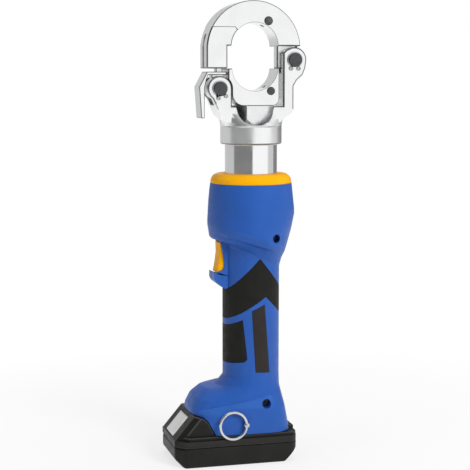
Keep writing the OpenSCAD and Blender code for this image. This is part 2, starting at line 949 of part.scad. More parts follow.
module trigger_slot() {
    low = on_front(trigger_back_shares[0]);
    high = on_front(trigger_back_shares[4]);
    half = trigger_w / 2 + trigger_side_gap;
    block(
        [-slot_front_share * handle_r, -half, low[1] - trigger_gap],
        [high[0] + trigger_room, half, high[1] + trigger_gap]
    );
}

// The battery's rails, with room all round; the neck's room runs out at the foot's rear
module rail_room(gap) {
    block(
        [-2 * pack_front, -rail_neck_half - gap, lid_z - over],
        [2 * foot_rear, rail_neck_half + gap, lid_z + rail_neck_h]
    );
    block(
        [-2 * pack_front, -rail_half - gap, lid_z + rail_neck_h - gap],
        [rail_rear + gap, rail_half + gap, lid_z + rail_neck_h + rail_h + gap]
    );
}

// Side view of the pack's nose, grown by gap
module nose_outline(gap) {
    front = pack_front + 2 * gap;
    polygon([
        [-nose_heel_x + gap, tray_h],
        [-front, tray_h],
        [-front, tray_h + nose_lip_h],
        [-nose_top_x - gap, tray_h + nose_top_h + gap],
        [-nose_crown_x + gap, tray_h + nose_crown_h + gap],
        [-nose_bend_x + gap, tray_h + nose_bend_h + gap],
        [-nose_heel_x + gap, lid_z + gap]
    ]);
}

module inner_room() {
    // Cylinder, reservoir and pump
    translate([0, 0, cylinder_z - over])
        cylinder(r = tube_r + face_gap, h = ring_z - cylinder_z + 2 * over);
    translate([0, 0, cylinder_z + reservoir_rise - face_gap])
        cylinder(r = reservoir_out + face_gap, h = reservoir_h + 2 * face_gap);
    translate([0, 0, pump_z - face_gap]) cylinder(r = pump_r + face_gap, h = pump_h + face_gap);
    // Gearbox, motor and the wires below it
    translate([0, 0, motor_top - over]) cylinder(r = gearbox_r + face_gap, h = pump_z - motor_top + over);
    translate([0, 0, motor_z - face_gap]) cylinder(r = motor_r + face_gap, h = motor_h + face_gap);
    translate([0, 0, foot_z + board_rise])
        cylinder(r = motor_neck_r + face_gap, h = motor_z - foot_z - board_rise);
    // Board and terminals in the foot
    block(
        [-board_l - face_gap, -board_w / 2 - face_gap, foot_z + board_rise - face_gap],
        [face_gap, board_w / 2 + face_gap, foot_z + board_rise + board_t + board_part_h + face_gap]
    );
    block(
        [terminal_x - face_gap, -terminal_w / 2 - face_gap, lid_z + rail_neck_h + rail_h],
        [terminal_x + terminal_l + face_gap, terminal_w / 2 + face_gap, terminal_z() + terminal_h + face_gap]
    );
}

function terminal_z() = lid_z + rail_neck_h + rail_h + rail_gap;

// Both shells as one piece, with every bed and room cut
module housing_whole()
    difference() {
        union() {
            housing_loft();
            across(2 * guard_half) guard_outline();
        }
        inner_room();
        handle_bed(grip_shares, grip_t);
        handle_bed(front_grip_shares, grip_t);
        trigger_slot();
        trigger_pin_bar(trigger_pin_r + seat_fit);
        switch_box(face_gap);
        rail_room(rail_gap);
        across(2 * pack_w) nose_outline(nose_gap);
    }

// Places of the two housing screws, in x and z
function screw_places() =
    [[upper_screw_x, ring_z - upper_screw_drop], [lower_screw_x, handle_z - lower_screw_drop]];

module screw_wells()
    for (p = screw_places())
        bar(screw_well_r, p[0], p[1], -2 * foot_half, -screw_seat);

module screw_bores()
    for (p = screw_places())
        bar(screw_r + seat_fit, p[0], p[1], -screw_seat - over, screw_end);

module housing_right()
    color("royalblue")
        difference() {
            housing_whole();
            block([-2 * pack_front, 0, -over], [2 * pack_front, 2 * pack_w, 2 * ring_z]);
            screw_wells();
            screw_bores();
            intersection() {
                handle_bed(label_shares, label_t);
                block([-handle_r, -2 * handle_r, 0], [handle_r, 0, ring_z]);
            }
        }

module housing_left()
    color("royalblue")
        difference() {
            housing_whole();
            block([-2 * pack_front, -2 * pack_w, -over], [2 * pack_front, 0, 2 * ring_z]);
            screw_bores();
        }

module handle_grip()
    color([0.13, 0.13, 0.12])
        handle_skin(grip_shares, grip_t, 0);

module front_grip()
    color([0.13, 0.13, 0.12])
        handle_skin(front_grip_shares, grip_t, 0);

module label_plate()
    color([0.2, 0.18, 0.18])
        intersection() {
            handle_skin(label_shares, label_t, 0);
            block([-handle_r, -2 * handle_r, 0], [handle_r, 0, ring_z]);
        }

module housing_screws()
    color("dimgray")
        for (p = screw_places())
            difference() {
                union() {
                    bar(screw_head_r, p[0], p[1], -screw_seat - screw_head_t, -screw_seat);
                    bar(screw_r, p[0], p[1], -screw_seat - over, screw_end - face_gap);
                }
                bar(
                    socket_r, p[0], p[1],
                    -screw_seat - screw_head_t - over, socket_d - screw_seat - screw_head_t, 6
                );
            }

// Drive

module oil_reservoir()
    color([0.25, 0.25, 0.25])
        hoop(reservoir_in, reservoir_out, cylinder_z + reservoir_rise, reservoir_h);

module pump_block()
    color("silver")
        difference() {
            translate([0, 0, pump_z]) cylinder(r = pump_r, h = pump_h);
            translate([0, 0, pump_z - over])
                cylinder(r = eccentric_room, h = eccentric_h + 2 * eccentric_lift + over);
            translate([0, 0, pump_z - over])
                cylinder(r = shaft_r + run_fit, h = over + pump_h - shaft_short + face_gap);
            translate([0, 0, pump_z]) cylinder(r = port_r, h = pump_h + over);
        }

module drive_shaft()
    color("gray")
        translate([0, 0, gearbox_top - shaft_sink])
            cylinder(r = shaft_r, h = shaft_gap_h + shaft_sink + pump_h - shaft_short);

module eccentric()
    color("goldenrod")
        translate([0, 0, pump_z + eccentric_lift])
            difference() {
                translate([eccentric_throw, 0, 0]) cylinder(r = eccentric_r, h = eccentric_h);
                translate([0, 0, -over]) cylinder(r = shaft_r + seat_fit, h = eccentric_h + 2 * over);
            }

module gearbox()
    color("darkgray")
        difference() {
            translate([0, 0, motor_top]) cylinder(r = gearbox_r, h = gearbox_h);
            translate([0, 0, gearbox_top - shaft_sink - face_gap])
                cylinder(r = shaft_r + run_fit, h = shaft_sink + face_gap + over);
        }

module motor()
    color("dimgray") {
        translate([0, 0, motor_z + motor_neck_h]) cylinder(r = motor_r, h = motor_h - motor_neck_h);
        translate([0, 0, motor_z]) cylinder(r = motor_neck_r, h = motor_neck_h + over);
    }

// Trigger

module trigger_pin_bar(r) {
    at = on_front(trigger_pin_share);
    half = trigger_w / 2 + trigger_pin_grip;
    bar(r, at[0], at[1], -half, half);
}

module trigger()
    color("orange")
        difference() {
            across(trigger_w) trigger_outline();
            trigger_pin_bar(trigger_pin_r + run_fit);
        }

module trigger_pin()
    color("silver")
        trigger_pin_bar(trigger_pin_r);

// The switch block behind the trigger, grown by gap
module switch_box(gap) {
    x = -gearbox_r - face_gap - switch_gap;
    z = on_front([0, switch_rise_share])[1];
    block(
        [x - switch_t - gap, -switch_w / 2 - gap, z - gap],
        [x + gap, switch_w / 2 + gap, z + switch_h + gap]
    );
}

module trigger_switch()
    color([0.15, 0.15, 0.15])
        switch_box(0);

// Electrics in the foot

module control_board() {
    part_x = board_part_in - board_l;
    part_z = foot_z + board_rise + board_t;
    color("darkgreen") {
        block([-board_l, -board_w / 2, foot_z + board_rise], [0, board_w / 2, part_z]);
        block(
            [part_x, -board_part_w / 2, part_z - seat_fit],
            [part_x + board_part_l, board_part_w / 2, part_z + board_part_h]
        );
    }
}

module terminal_block()
    color([0.15, 0.15, 0.15]) {
        block(
            [terminal_x, -terminal_w / 2, terminal_z()],
            [terminal_x + terminal_l, terminal_w / 2, terminal_z() + terminal_h]
        );
        for (side = [-1, 1])
            block(
                [terminal_x, side * blade_y - blade_t / 2, lid_z + rail_neck_h],
                [terminal_x + blade_l, side * blade_y + blade_t / 2, terminal_z() + over]
            );
    }

// Strap ring

module strap_boss()
    color("silver")
        difference() {
            union() {
                translate([strap_x, -strap_y, strap_z]) sphere(r = bead_r);
                bar(stem_r, strap_x, strap_z, -strap_y, -foot_half + seat_fit);
            }
            translate([strap_x, -strap_y, strap_z - 2 * bead_r])
                cylinder(r = bead_hole_r, h = 4 * bead_r);
        }

module strap_ring()
    color("silver")
        translate([strap_x - strap_r, -strap_y, strap_z])
            rotate([90, 0, 0])
                rotate_extrude($fn = 64)
                    translate([strap_r, 0])
                        circle(r = strap_wire_r, $fn = 24);

// Battery pack

// Plan of the pack's case, bevelled in front and rounded at the rear, drawn in by inset
module pack_plan(inset) {
    half = pack_w / 2 - inset;
    low = -pack_front + inset;
    high = pack_rear - inset;
    r = pack_corner - inset;
    front_half = pack_front_half - bevel_inset_share * inset;
    bevel_x = -pack_front + pack_bevel + bevel_inset_share * inset;
    polygon([
        [low, -front_half], [bevel_x, -half], [high - r, -half], [high, r - half],
        [high, half - r], [high - r, half], [bevel_x, half], [low, front_half]
    ]);
    for (side = [-1, 1])
        translate([high - r, side * (half - r)]) circle(r);
}

module battery_tray()
    color([0.12, 0.12, 0.12])
        difference() {
            intersection() {
                linear_extrude(tray_h) pack_plan(0);
                across(2 * pack_w)
                    polygon([
                        [-pack_front, pack_cut_front], [-pack_front + pack_cut_front, 0],
                        [pack_rear - pack_cut_rear, 0], [pack_rear, pack_cut_rear],
                        [pack_rear, tray_h], [-pack_front, tray_h]
                    ]);
            }
            cell_room();
        }

// Room for the cells inside the tray and the lid
module cell_room() {
    r = cell_r + face_gap;
    across(cell_l + 2 * face_gap) {
        for (x = [cell_first_x, cell_last_x])
            translate([x, cell_z]) circle(r);
        translate([cell_first_x, cell_z - r]) square([cell_last_x - cell_first_x, 2 * r]);
    }
}

module nose_plan()
    polygon([
        [-pack_front - over, -pack_front_half], [-nose_bevel_x, -nose_half], [-nose_heel_x, -nose_half],
        [-nose_heel_x, nose_half], [-nose_bevel_x, nose_half], [-pack_front - over, pack_front_half]
    ]);

// Bar along the slope whose upper edges are bevelled, so that the nose narrows towards its button
module nose_roof()
    translate([-pack_l / 2, 0, 0])
        rotate([90, 0, 90])
            linear_extrude(pack_l)
                polygon([
                    [-nose_half, -pack_l], [-nose_half, -nose_bevel_h], [-nose_face_half, 0],
                    [-nose_face_half, over], [nose_face_half, over],
                    [nose_face_half, 0], [nose_half, -nose_bevel_h], [nose_half, -pack_l]
                ]);

// Local frame of the slanted button face: x up the slope, z out of it
module on_slope() {
    angle = atan2(nose_top_h - nose_lip_h, pack_front - nose_top_x);
    translate([-pack_front, 0, tray_h + nose_lip_h])
        rotate([0, -angle, 0])
            children();
}

module battery_lid() {
    button_half = button_w / 2 + button_room;
    color([0.12, 0.12, 0.12])
        difference() {
            union() {
                translate([0, 0, tray_h + lid_seam]) linear_extrude(ledge_h - lid_seam) pack_plan(0);
                translate([0, 0, tray_h]) linear_extrude(lid_seam + over) pack_plan(lid_inset);
                translate([lid_inset - face_gap, 0, tray_h + lid_seam])
                    linear_extrude(ledge_h + plateau_h - lid_seam)
                        pack_plan(lid_inset);
                intersection() {
                    across(2 * pack_w) nose_outline(0);
                    translate([0, 0, tray_h + lid_seam]) linear_extrude(nose_top_h) nose_plan();
                    on_slope() nose_roof();
                }
                // Rails on their neck, and the neck's tail behind the foot
                block(
                    [-nose_heel_x - over, -rail_neck_half, lid_z - over],
                    [rail_rear, rail_neck_half, lid_z + rail_neck_h + over]
                );
                block(
                    [rail_rear - over, -rail_neck_half, lid_z - over],
                    [pack_rear, rail_neck_half, lid_z + tail_h]
                );
                block(
                    [-nose_heel_x - over, -rail_half, lid_z + rail_neck_h],
                    [rail_rear, rail_half, lid_z + rail_neck_h + rail_h]
                );
            }
            cell_room();
            for (side = [-1, 1])
                block(
                    [terminal_x - blade_room, side * blade_y - blade_room, lid_z + rail_neck_h - blade_room],
                    [rail_rear + over, side * blade_y + blade_room, lid_z + rail_neck_h + rail_h + over]
                );
            on_slope()
                block(
                    [button_start - button_room, -button_half, -button_t - button_travel - button_room],
                    [button_start + button_l + button_room, button_half, button_open]
                );
        }
}

module battery_cells()
    color("seagreen")
        for (i = [0 : cell_count - 1])
            bar(cell_r, cell_first_x + i * cell_pitch, cell_z, -cell_l / 2, cell_l / 2);

module battery_button()
    color("lightgray")
        on_slope()
            block(
                [button_start, -button_w / 2, button_proud - button_t],
                [button_start + button_l, button_w / 2, button_proud]
            );

fork();
hinge_pin();
latch_pin();
circlips();
upper_jaw();
upper_die_pin();
latch();
die_holder();
lower_die_pin();
ram();
piston_seal();
return_spring();
cylinder_node();  // cylinder
wiper_seal();
swivel_wire();
neck_ring();
housing_right();
housing_left();
handle_grip();
front_grip();
label_plate();
housing_screws();
oil_reservoir();
pump_block();
drive_shaft();
eccentric();
gearbox();
motor();
trigger();
trigger_pin();
trigger_switch();
control_board();
terminal_block();
strap_boss();
strap_ring();
battery_tray();
battery_lid();
battery_cells();
battery_button();
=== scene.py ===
import json
import math

import bmesh
import bpy
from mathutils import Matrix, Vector


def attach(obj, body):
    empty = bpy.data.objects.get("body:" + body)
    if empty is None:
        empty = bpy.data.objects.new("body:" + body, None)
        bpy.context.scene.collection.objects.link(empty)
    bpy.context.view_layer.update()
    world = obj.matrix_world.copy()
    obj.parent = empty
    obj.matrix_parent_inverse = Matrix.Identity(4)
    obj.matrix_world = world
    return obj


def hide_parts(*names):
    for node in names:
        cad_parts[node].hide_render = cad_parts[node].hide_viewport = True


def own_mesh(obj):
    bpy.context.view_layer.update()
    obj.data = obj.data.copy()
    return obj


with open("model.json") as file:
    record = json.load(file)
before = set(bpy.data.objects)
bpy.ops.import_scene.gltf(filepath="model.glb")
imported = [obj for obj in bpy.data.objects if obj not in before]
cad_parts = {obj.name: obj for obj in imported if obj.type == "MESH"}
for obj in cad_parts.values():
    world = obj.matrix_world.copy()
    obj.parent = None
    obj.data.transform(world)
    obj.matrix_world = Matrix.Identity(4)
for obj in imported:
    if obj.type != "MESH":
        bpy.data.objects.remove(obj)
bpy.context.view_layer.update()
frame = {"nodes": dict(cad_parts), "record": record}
nodes = frame["nodes"]
record = frame["record"]
body_of = {node: body for body, members in record["behaviour"]["bodies"].items() for node in members}
slot_of = {subpart["node"]: subpart["material_slot"] for subpart in record["subparts"]}
scene = bpy.context.scene
scene.view_settings.view_transform = "Standard"

# Blender counts in metres, and the outlines below are written in millimetres
MM_PER_M = 1000


def placed(name, data):
    """A new object in the scene."""
    piece = bpy.data.objects.new(name, data)
    scene.collection.objects.link(piece)
    return piece


# Camera at the photograph's angle: the tool is seen from its -Y side, turned a little towards the trigger
CAMERA_YAW = math.radians(15.0)
CAMERA_ELEVATION = math.radians(6.8)
CAMERA_DISTANCE = 1.209
CAMERA_TARGET = Vector((-0.0149, 0.0, 0.205))
CLIP_START = 0.01
CLIP_END = 100
PHOTO_HALF_WIDTH_PX = 235
FOCAL_LENGTH_PX = 1326


def photo_camera():
    level = math.cos(CAMERA_ELEVATION)
    back = Vector((
        -math.sin(CAMERA_YAW) * level,
        -math.cos(CAMERA_YAW) * level,
        math.sin(CAMERA_ELEVATION),
    ))
    camera = placed("camera", bpy.data.cameras.new("camera"))
    camera.location = CAMERA_TARGET + CAMERA_DISTANCE * back
    camera.rotation_euler = (-back).to_track_quat("-Z", "Y").to_euler()
    camera.data.angle = 2 * math.atan(PHOTO_HALF_WIDTH_PX / FOCAL_LENGTH_PX)
    camera.data.clip_start = CLIP_START
    camera.data.clip_end = CLIP_END
    return camera


scene.camera = photo_camera()


# Nodes that the materials are made of
def link(tree, source, socket):
    tree.links.new(source, socket)


def noise(tree, coords, scale, detail=4.0, rough=0.55):
    """Noise from 0 to 1, with about as many patches to the metre as its scale says."""
    texture = tree.nodes.new("ShaderNodeTexNoise")
    texture.inputs["Scale"].default_value = scale
    texture.inputs["Detail"].default_value = detail
    texture.inputs["Roughness"].default_value = rough
    link(tree, coords, texture.inputs["Vector"])
    return texture.outputs["Fac"]


def spread(tree, value, low, high, start=0.3, end=0.7):
    """The value's stretch from start to end, spread over low to high."""
    mapped = tree.nodes.new("ShaderNodeMapRange")
    mapped.inputs["From Min"].default_value = start
    mapped.inputs["From Max"].default_value = end
    mapped.inputs["To Min"].default_value = low
    mapped.inputs["To Max"].default_value = high
    link(tree, value, mapped.inputs["Value"])
    return mapped.outputs["Result"]


# Sockets of a Mix node that blends colours: the two colours, and the result
MIX_FIRST = 6
MIX_SECOND = 7
MIX_RESULT = 2


def blend_colour(tree, factor, first, second):
    """From the first colour to the second; each is a written colour or another node's output."""
    mix = tree.nodes.new("ShaderNodeMix")
    mix.data_type = "RGBA"
    link(tree, factor, mix.inputs["Factor"])
    for value, socket in ((first, mix.inputs[MIX_FIRST]), (second, mix.inputs[MIX_SECOND])):
        if isinstance(value, tuple):
            socket.default_value = (*value, 1)
        else:
            link(tree, value, socket)
    return mix.outputs[MIX_RESULT]


def bump(tree, height, strength, distance, normal=None):
    relief = tree.nodes.new("ShaderNodeBump")
    relief.inputs["Strength"].default_value = strength
    relief.inputs["Distance"].default_value = distance
    link(tree, height, relief.inputs["Height"])
    if normal is not None:
        link(tree, normal, relief.inputs["Normal"])
    return relief.outputs["Normal"]


# What all surfaces share: clouds of colour, patches of gloss, grain, edges that are partly worn and partly
# carry a painted highlight, and fine lines
CLOUD_DETAIL = 5.0
GRAIN_DETAIL = 3.0
NOISE_ROUGHNESS = 0.6
GRAINS_IN_GLOSS = 12
GRAIN_STRENGTH = 0.5
WEAR_AND_HIGHLIGHT_START = 0.52
WEAR_AND_HIGHLIGHT_FULL = 0.6
LINE_DETAIL = 2.0
LINE_STRENGTH = 0.35
LINE_DEPTH = 0.00003

looks = {}


def look(name, colour, other, rough, metallic=0.0, grain=3000.0, grain_depth=0.00005, cloud=60.0,
         edge_wear_and_highlight=None, edge_wear_and_highlight_share=0.6, specular=0.5, lines=None):
    """A surface with colour clouds, uneven gloss, fine grain and a second colour on its convex edges,
    partly wear and partly a painted highlight, in the piece's own frame.
    """
    material = bpy.data.materials.new(name)
    material.use_nodes = True
    tree = material.node_tree
    shader = tree.nodes["Principled BSDF"]
    shader.inputs["Metallic"].default_value = metallic
    shader.inputs["Specular IOR Level"].default_value = specular
    place = tree.nodes.new("ShaderNodeTexCoord").outputs["Object"]

    clouds = noise(tree, place, cloud, CLOUD_DETAIL, NOISE_ROUGHNESS)
    tone = blend_colour(tree, spread(tree, clouds, 0.0, 1.0), colour, other)
    # Convex edges, found by pointiness, take a second colour: partly wear, partly a painted highlight along
    # edges and creases; it is lighter on most looks and darker on the button
    if edge_wear_and_highlight is not None:
        edge = tree.nodes.new("ShaderNodeNewGeometry").outputs["Pointiness"]
        wear_and_highlight_mask = spread(tree, edge, 0.0, edge_wear_and_highlight_share, WEAR_AND_HIGHLIGHT_START, WEAR_AND_HIGHLIGHT_FULL)
        tone = blend_colour(tree, wear_and_highlight_mask, tone, edge_wear_and_highlight)
    link(tree, tone, shader.inputs["Base Color"])

    gloss = noise(tree, place, grain / GRAINS_IN_GLOSS)
    link(tree, spread(tree, gloss, rough[0], rough[1]), shader.inputs["Roughness"])

    fine = noise(tree, place, grain, GRAIN_DETAIL, NOISE_ROUGHNESS)
    normal = bump(tree, fine, GRAIN_STRENGTH, grain_depth)
    if lines is not None:
        stretched = tree.nodes.new("ShaderNodeMapping")
        stretched.inputs["Scale"].default_value = lines
        link(tree, place, stretched.inputs["Vector"])
        turned = noise(tree, stretched.outputs["Vector"], 1.0, LINE_DETAIL)
        normal = bump(tree, turned, LINE_STRENGTH, LINE_DEPTH, normal)
    link(tree, normal, shader.inputs["Normal"])
    looks[name] = material


# Metals
look("plated_steel", (0.96, 0.965, 0.97), (0.92, 0.925, 0.93), rough=(0.24, 0.36), metallic=1.0,
     grain=620.0, grain_depth=0.00016, cloud=90.0)
# Darker metal for the softened edges of the head's steel parts: painted shade, a dark outline along their
# chamfers
look("painted_edge_shade", (0.3, 0.305, 0.31), (0.22, 0.225, 0.23), rough=(0.3, 0.45), metallic=1.0,
     grain=1100.0, grain_depth=0.00004, cloud=300.0)
look("dark_steel", (0.085, 0.088, 0.09), (0.055, 0.058, 0.06), rough=(0.3, 0.45), metallic=1.0,
     grain=2500.0, grain_depth=0.00003, cloud=200.0, edge_wear_and_highlight=(0.2, 0.2, 0.2))
look("spring_steel", (0.5, 0.5, 0.51), (0.4, 0.4, 0.41), rough=(0.2, 0.35), metallic=1.0, grain=2500.0)
look("ground_steel", (0.92, 0.925, 0.93), (0.86, 0.865, 0.87), rough=(0.22, 0.36), metallic=1.0,
     grain=1500.0, grain_depth=0.00003, cloud=80.0)
look("chromed_tube", (0.94, 0.945, 0.95), (0.9, 0.905, 0.91), rough=(0.1, 0.2), metallic=1.0,
     grain=900.0, grain_depth=0.00001, lines=(40.0, 40.0, 2600.0))
look("ring_steel", (0.74, 0.74, 0.74), (0.64, 0.64, 0.65), rough=(0.14, 0.26), metallic=1.0,
     grain=2000.0, grain_depth=0.00001)
look("pump_aluminium", (0.55, 0.56, 0.57), (0.47, 0.48, 0.49), rough=(0.3, 0.45), metallic=1.0,
     grain=1500.0)
look("motor_can", (0.24, 0.24, 0.25), (0.2, 0.2, 0.21), rough=(0.3, 0.45), metallic=1.0, grain=1500.0)

# Plastics and rubber that show
# The lighter edge colours of these plastics and the rubber are partly wear, partly a painted highlight and
# sheen along edges and creases
look("yellow_plastic", (0.95, 0.45, 0.003), (0.9, 0.41, 0.003), rough=(0.34, 0.46), specular=0.1,
     grain=2600.0, grain_depth=0.00006, cloud=40.0, edge_wear_and_highlight=(0.96, 0.52, 0.03), edge_wear_and_highlight_share=0.3)
look("blue_plastic", (0.019, 0.1, 0.42), (0.016, 0.088, 0.38), rough=(0.36, 0.5), specular=0.3,
     grain=2800.0, grain_depth=0.00007, cloud=30.0, edge_wear_and_highlight=(0.04, 0.15, 0.52), edge_wear_and_highlight_share=0.35)
look("grip_rubber", (0.009, 0.009, 0.008), (0.014, 0.014, 0.012), rough=(0.5, 0.68), specular=0.14,
     grain=1800.0, grain_depth=0.00014, cloud=50.0, edge_wear_and_highlight=(0.035, 0.035, 0.03), edge_wear_and_highlight_share=0.4)
look("label_film", (0.016, 0.012, 0.012), (0.022, 0.017, 0.016), rough=(0.28, 0.4), specular=0.25,
     grain=3500.0, grain_depth=0.00003, cloud=70.0)
look("battery_black", (0.008, 0.008, 0.007), (0.013, 0.013, 0.012), rough=(0.36, 0.52), specular=0.22,
     grain=2400.0, grain_depth=0.00012, cloud=45.0, edge_wear_and_highlight=(0.04, 0.04, 0.036), edge_wear_and_highlight_share=0.45)
# Lighter, glossier black for the battery lid's softened edges: a painted highlight along them
look("painted_highlight_black", (0.05, 0.05, 0.047), (0.036, 0.036, 0.034), rough=(0.34, 0.5), specular=0.3,
     grain=2400.0, grain_depth=0.00012, cloud=45.0)
look("button_grey", (0.82, 0.82, 0.8), (0.74, 0.74, 0.72), rough=(0.36, 0.5),
     grain=2600.0, grain_depth=0.00009, edge_wear_and_highlight=(0.66, 0.66, 0.64), edge_wear_and_highlight_share=0.4)

# Materials inside the housing and the pack
look("seal_rubber", (0.03, 0.03, 0.03), (0.02, 0.02, 0.02), rough=(0.5, 0.7))
look("black_plastic", (0.02, 0.02, 0.02), (0.03, 0.03, 0.03), rough=(0.45, 0.6))
look("board_green", (0.012, 0.09, 0.04), (0.01, 0.075, 0.03), rough=(0.3, 0.45))
look("cell_can", (0.05, 0.24, 0.14), (0.04, 0.2, 0.12), rough=(0.3, 0.45))

for name, node in nodes.items():
    node.data.materials.clear()
    node.data.materials.append(looks[slot_of[name]])


# Shares of a face's depth, of a side's length and of an edge's own length that softening may take up
DEPTH_SHARE = 0.4
SIDE_SHARE = 0.6
LENGTH_SHARE = 0.7
AMPLE_ROOM = 1.0
LEAST_DEPTH = 0.00001
LEAST_CLOSING = 0.02

# Two edges run on into each other when the cosine between their ways from the shared corner is below this
RUN_ON_COSINE = -0.85


def room_beside(loop, soft):
    """How wide an edge can be softened on one of its faces before it meets another edge of that face."""
    normal = loop.face.normal
    start = loop.vert.co
    span = loop.link_loop_next.vert.co - start
    along = span.normalized()
    inward = normal.cross(along)
    middle = start + span / 2
    room = AMPLE_ROOM
    for other in loop.face.loops:
        if other is loop:
            continue
        near = other.vert.co - middle
        far = other.link_loop_next.vert.co - middle
        near_side = near.dot(along)
        far_side = far.dot(along)
        if near_side * far_side < 0:
            depth = near.dot(inward) + (far - near).dot(inward) * near_side / (near_side - far_side)
            if depth > LEAST_DEPTH:
                room = min(room, DEPTH_SHARE * depth)
    before = loop.link_loop_prev
    after = loop.link_loop_next
    corners = (
        (before.edge, (start - before.vert.co).normalized(), along),
        (after.edge, along, (after.link_loop_next.vert.co - after.vert.co).normalized()),
    )
    closing = 0.0
    for edge, way_in, way_out in corners:
        sine = way_in.cross(way_out).dot(normal)
        if edge in soft:
            closing += math.tan(math.atan2(sine, way_in.dot(way_out)) / 2)
        else:
            room = min(room, SIDE_SHARE * edge.calc_length() * abs(sine))
    if closing > LEAST_CLOSING:
        room = min(room, LENGTH_SHARE * span.length / closing)
    return room


def way_from(vert, edge):
    return (edge.other_vert(vert).co - vert.co).normalized()


def chains(soft):
    """Groups of soft edges that run on into each other without a corner."""
    left = set(soft)
    while left:
        chain = [left.pop()]
        for edge in chain:
            for vert in edge.verts:
                way = way_from(vert, edge)
                for other in vert.link_edges:
                    if other in left and way_from(vert, other).dot(way) < RUN_ON_COSINE:
                        left.discard(other)
                        chain.append(other)
        yield chain


# Visible pieces as welded copies of their solids, with softened edges
WELD = 0.000004
FLAT_ANGLE = math.radians(0.4)
SHARP_DEGREES = 32
FLAT_FACE_WEIGHT = 100
RIM_INDEX = 1


def welded(mesh):
    """A mesh to work on, with its double corners merged and its flat faces joined."""
    work = bmesh.new()
    work.from_mesh(mesh)
    bmesh.ops.remove_doubles(work, verts=work.verts, dist=WELD)
    bmesh.ops.dissolve_limit(work, angle_limit=FLAT_ANGLE, verts=work.verts, edges=work.edges)
    return work


def smooth_up_to(mesh, degrees):
    """Smooth shading, apart from the edges that turn by more than so many degrees."""
    mesh.polygons.foreach_set("use_smooth", [True] * len(mesh.polygons))
    mesh.set_sharp_from_angle(angle=math.radians(degrees))


def weigh_soft_edges(work, width, degrees, plain):
    """Gives each sharp outward edge the share of the width that its surroundings have room for."""
    share = work.edges.layers.float.new("bevel_weight_edge")
    soft = set()
    for edge in work.edges:
        height = (edge.verts[0].co.z + edge.verts[1].co.z) / 2
        outward = len(edge.link_faces) == 2 and edge.is_convex
        sharp = outward and edge.calc_face_angle(0) > math.radians(degrees)
        if sharp and not plain[0] < height < plain[1]:
            soft.add(edge)
    for chain in chains(soft):
        room = min(room_beside(loop, soft) for edge in chain for loop in edge.link_loops)
        for edge in chain:
            edge[share] = min(1.0, room / width)


def refined(node, width, segments=2, degrees=SHARP_DEGREES, source=None, rim=None,
            plain=(0.0, 0.0), cut=None):
    """A copy of a node or of a source mesh with softened edges, apart from those at the plain heights.

    A rim is a second look for the softened edges, and a cut is a height at which faces are divided.
    """
    work = welded(source or nodes[node].data)
    if cut is not None:
        bmesh.ops.bisect_plane(work, geom=work.verts[:] + work.edges[:] + work.faces[:],
                               plane_co=(0.0, 0.0, cut), plane_no=(0.0, 0.0, 1.0))
    weigh_soft_edges(work, width, degrees, plain)
    mesh = bpy.data.meshes.new(node + "_form")
    work.to_mesh(mesh)
    work.free()
    if "custom_normal" in mesh.attributes:
        mesh.attributes.remove(mesh.attributes["custom_normal"])
    smooth_up_to(mesh, degrees)
    mesh.materials.clear()
    mesh.materials.append(looks[slot_of[node]])
    mesh.polygons.foreach_set("material_index", [0] * len(mesh.polygons))
    piece = placed(node + "_form", mesh)
    soften = piece.modifiers.new("soft_edges", "BEVEL")
    soften.width = width
    soften.segments = segments
    soften.limit_method = "WEIGHT"
    soften.harden_normals = True
    soften.use_clamp_overlap = False
    soften.loop_slide = False
    if rim is not None:
        mesh.materials.append(looks[rim])
        soften.material = RIM_INDEX
    flat = piece.modifiers.new("flat_faces", "WEIGHTED_NORMAL")
    flat.mode = "FACE_AREA"
    flat.weight = FLAT_FACE_WEIGHT
    flat.keep_sharp = True
    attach(piece, body_of[node])
    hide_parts(node)


# The fork's collar runs out into its flat arms over a shoulder with a dip at the front and the back
COLLAR_TOP = 307.6
COLLAR_LIP = -4.3
THROAT_RADIUS = 22.05
SHOULDER_SUNK = 0.05
DIP_TOP = 0.1
STEP = 0.01
ROUND = 2.0

# Sections of these forms: height above the collar's top, half width, half depth and squareness
SHOULDER_ROOT = ((-5.0, 24.0, 24.0, ROUND), (COLLAR_LIP, 27.6, 27.6, ROUND))
SHOULDER = (
    (-3.1, 28.2, 22.3, ROUND),
    (2.5, 29.0, 19.0, 2.4),
    (7.0, 30.8, 16.0, 3.0),
    (12.0, 33.2, 14.05, 4.0),
)
THROAT = ((-20.0, THROAT_RADIUS, THROAT_RADIUS, ROUND), (40.0, THROAT_RADIUS, THROAT_RADIUS, ROUND))
DIP = (
    (-60.0, 60.0, 60.0, ROUND),
    (COLLAR_LIP - STEP, 60.0, 60.0, ROUND),
    (COLLAR_LIP, 28.2, 28.2, ROUND),
    SHOULDER[0],
    (DIP_TOP, 28.7, 20.7, 2.2),
    (DIP_TOP + STEP, 100.0, 100.0, ROUND),
    (120.0, 100.0, 100.0, ROUND),
)

# Heights between which the fork's flare keeps its plain edges, in metres
FORK_FLARE = (0.298, 0.3197)


def loft(name, sections, around=96):
    """A closed solid through rounded sections above the collar's top."""
    points = []
    for rise, half_x, half_y, square in sections:
        for i in range(around):
            turn = 2 * math.pi * i / around
            x = math.copysign(half_x * abs(math.cos(turn)) ** (2 / square), math.cos(turn))
            y = math.copysign(half_y * abs(math.sin(turn)) ** (2 / square), math.sin(turn))
            points.append((x / MM_PER_M, y / MM_PER_M, (COLLAR_TOP + rise) / MM_PER_M))
    faces = [tuple(reversed(range(around))), tuple(range(len(points) - around, len(points)))]
    for ring in range(len(sections) - 1):
        for i in range(around):
            first = ring * around + i
            second = ring * around + (i + 1) % around
            faces.append((first, second, second + around, first + around))
    mesh = bpy.data.meshes.new(name)
    mesh.from_pydata(points, [], faces)
    return mesh


